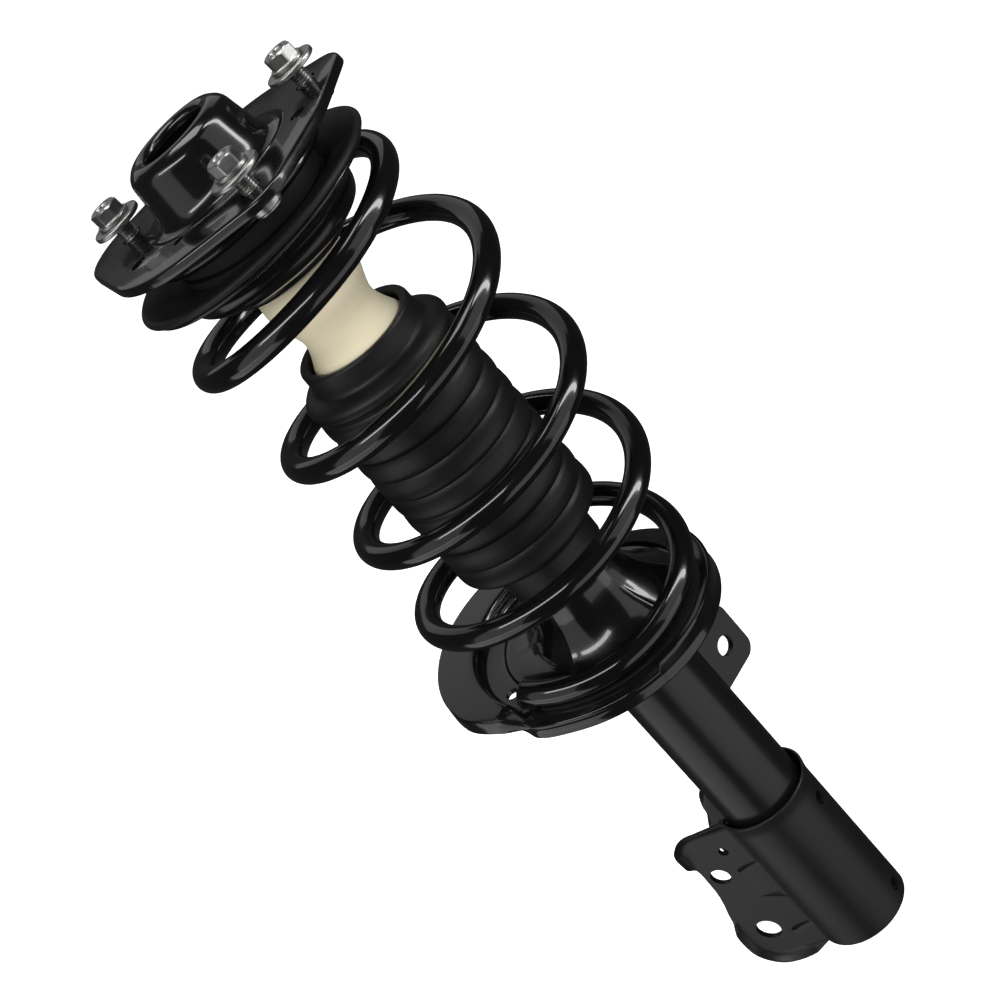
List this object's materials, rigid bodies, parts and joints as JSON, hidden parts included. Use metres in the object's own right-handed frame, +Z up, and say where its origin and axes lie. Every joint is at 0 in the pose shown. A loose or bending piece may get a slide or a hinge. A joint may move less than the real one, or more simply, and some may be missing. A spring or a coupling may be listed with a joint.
{
  "type": "suspension strut",
  "caption": "Front suspension strut: lobed top mount with dome and bolts, bearing, coil spring, bump stop and bellows boot over a damper tube with clevis knuckle bracket and stabiliser tab.",
  "frame": {"origin": "on the rod's axis, in the plane of the top mount plate's upper face, which seats against the tower", "axes": "+Z up along the piston rod towards the tower, +X towards the side the knuckle ears point to, +Y to complete a right-handed frame"},
  "size_m": [0.1947, 0.1623, 0.6316],
  "materials": {
    "gloss_black": "glossy black electrocoat",
    "satin_black": "satin black paint",
    "zinc": "bright zinc plate",
    "rubber": "matte moulded rubber",
    "steel": "plain turned steel",
    "plastic": "glass-filled nylon",
    "ball_steel": "polished bearing steel",
    "cage_plastic": "black nylon",
    "rubber_seat": "matte moulded rubber over a steel dish",
    "gloss_rubber": "shiny moulded rubber",
    "urethane": "cream cellular urethane",
    "boot_rubber": "matte thermoplastic rubber",
    "spring_black": "glossy black powder coat over spring steel",
    "chrome_rod": "hard chrome, ground",
    "sintered": "sintered iron",
    "band": "bronze-filled plastic",
    "spring_steel": "blued spring steel",
    "bronze": "bronze-backed liner"
  },
  "bodies": {
    "mount": {"top_mount_plate": "gloss_black", "weld_nuts": "zinc", "mount_lower_cup": "gloss_black", "mount_rubber": "rubber", "mount_inner_sleeve": "steel", "rod_washer": "zinc", "rod_nut": "zinc", "bearing_upper_race": "plastic", "piston_rod": "chrome_rod", "rebound_stop": "plastic", "piston": "sintered", "piston_band": "band", "valve_discs": "spring_steel", "piston_nut": "steel"},
    "washer_outboard": {"washer_outboard": "zinc"},
    "bolt_outboard": {"bolt_outboard": "zinc"},
    "washer_front": {"washer_front": "zinc"},
    "bolt_front": {"bolt_front": "zinc"},
    "washer_rear": {"washer_rear": "zinc"},
    "bolt_rear": {"bolt_rear": "zinc"},
    "bearing_cage": {"bearing_balls": "ball_steel", "bearing_cage": "cage_plastic"},
    "spring_seat": {"bearing_lower_race": "plastic", "upper_spring_seat": "rubber_seat", "upper_isolator": "gloss_rubber", "bump_stop": "urethane", "dust_boot": "boot_rubber", "coil_spring": "spring_black"},
    "strut": {"outer_tube": "satin_black", "base_cup": "satin_black", "pressure_tube": "steel", "rod_guide": "sintered", "guide_bushing": "bronze", "rod_seal": "rubber", "gland_cap": "steel", "bump_cap": "satin_black", "base_valve": "sintered", "base_valve_disc": "spring_steel", "lower_isolator": "rubber", "lower_spring_seat": "gloss_black", "stabiliser_tab": "satin_black", "knuckle_bracket": "satin_black", "bracket_inner_plate": "satin_black"}
  },
  "joints": [
    {"name": "bolt_outboard_advance", "type": "slide", "parent": "mount", "child": "washer_outboard", "axis": [0.0872, 0, 0.9962], "range_m": [-0.008, 0]},
    {"name": "bolt_outboard_turn", "type": "hinge", "parent": "washer_outboard", "child": "bolt_outboard", "pos_m": [0.06376, 0, -0.00558], "axis": [0.0872, 0, 0.9962], "range_deg": [-1919.6, 0]},
    {"name": "bolt_front_advance", "type": "slide", "parent": "mount", "child": "washer_front", "axis": [0.0872, 0, 0.9962], "range_m": [-0.008, 0]},
    {"name": "bolt_front_turn", "type": "hinge", "parent": "washer_front", "child": "bolt_front", "pos_m": [-0.04586, 0.04446, 0.00401], "axis": [0.0872, 0, 0.9962], "range_deg": [-1919.6, 0]},
    {"name": "bolt_rear_advance", "type": "slide", "parent": "mount", "child": "washer_rear", "axis": [0.0872, 0, 0.9962], "range_m": [-0.008, 0]},
    {"name": "bolt_rear_turn", "type": "hinge", "parent": "washer_rear", "child": "bolt_rear", "pos_m": [-0.04586, -0.04446, 0.00401], "axis": [0.0872, 0, 0.9962], "range_deg": [-1919.6, 0]},
    {"name": "steer", "type": "hinge", "parent": "mount", "child": "spring_seat", "pos_m": [0, 0, -0.026], "axis": [0, 0, 1], "range_deg": [-40, 40]},
    {"name": "bearing_roll", "type": "hinge", "parent": "mount", "child": "bearing_cage", "pos_m": [0, 0, -0.026], "axis": [0, 0, 1], "range_deg": [-20, 20]},
    {"name": "strut_travel", "type": "slide", "parent": "spring_seat", "child": "strut", "axis": [0, 0, 1], "range_m": [0, 0.1], "stiffness_N_per_m": 25000, "springref_m": -0.06, "deforming": ["coil_spring", "dust_boot"]}
  ],
  "couplings": [
    {"joint": "bolt_outboard_turn", "follows": "bolt_outboard_advance", "rad_per_m": 4188.8},
    {"joint": "bolt_front_turn", "follows": "bolt_front_advance", "rad_per_m": 4188.8},
    {"joint": "bolt_rear_turn", "follows": "bolt_rear_advance", "rad_per_m": 4188.8},
    {"joint": "bearing_roll", "follows": "steer", "ratio": 0.5}
  ]
}
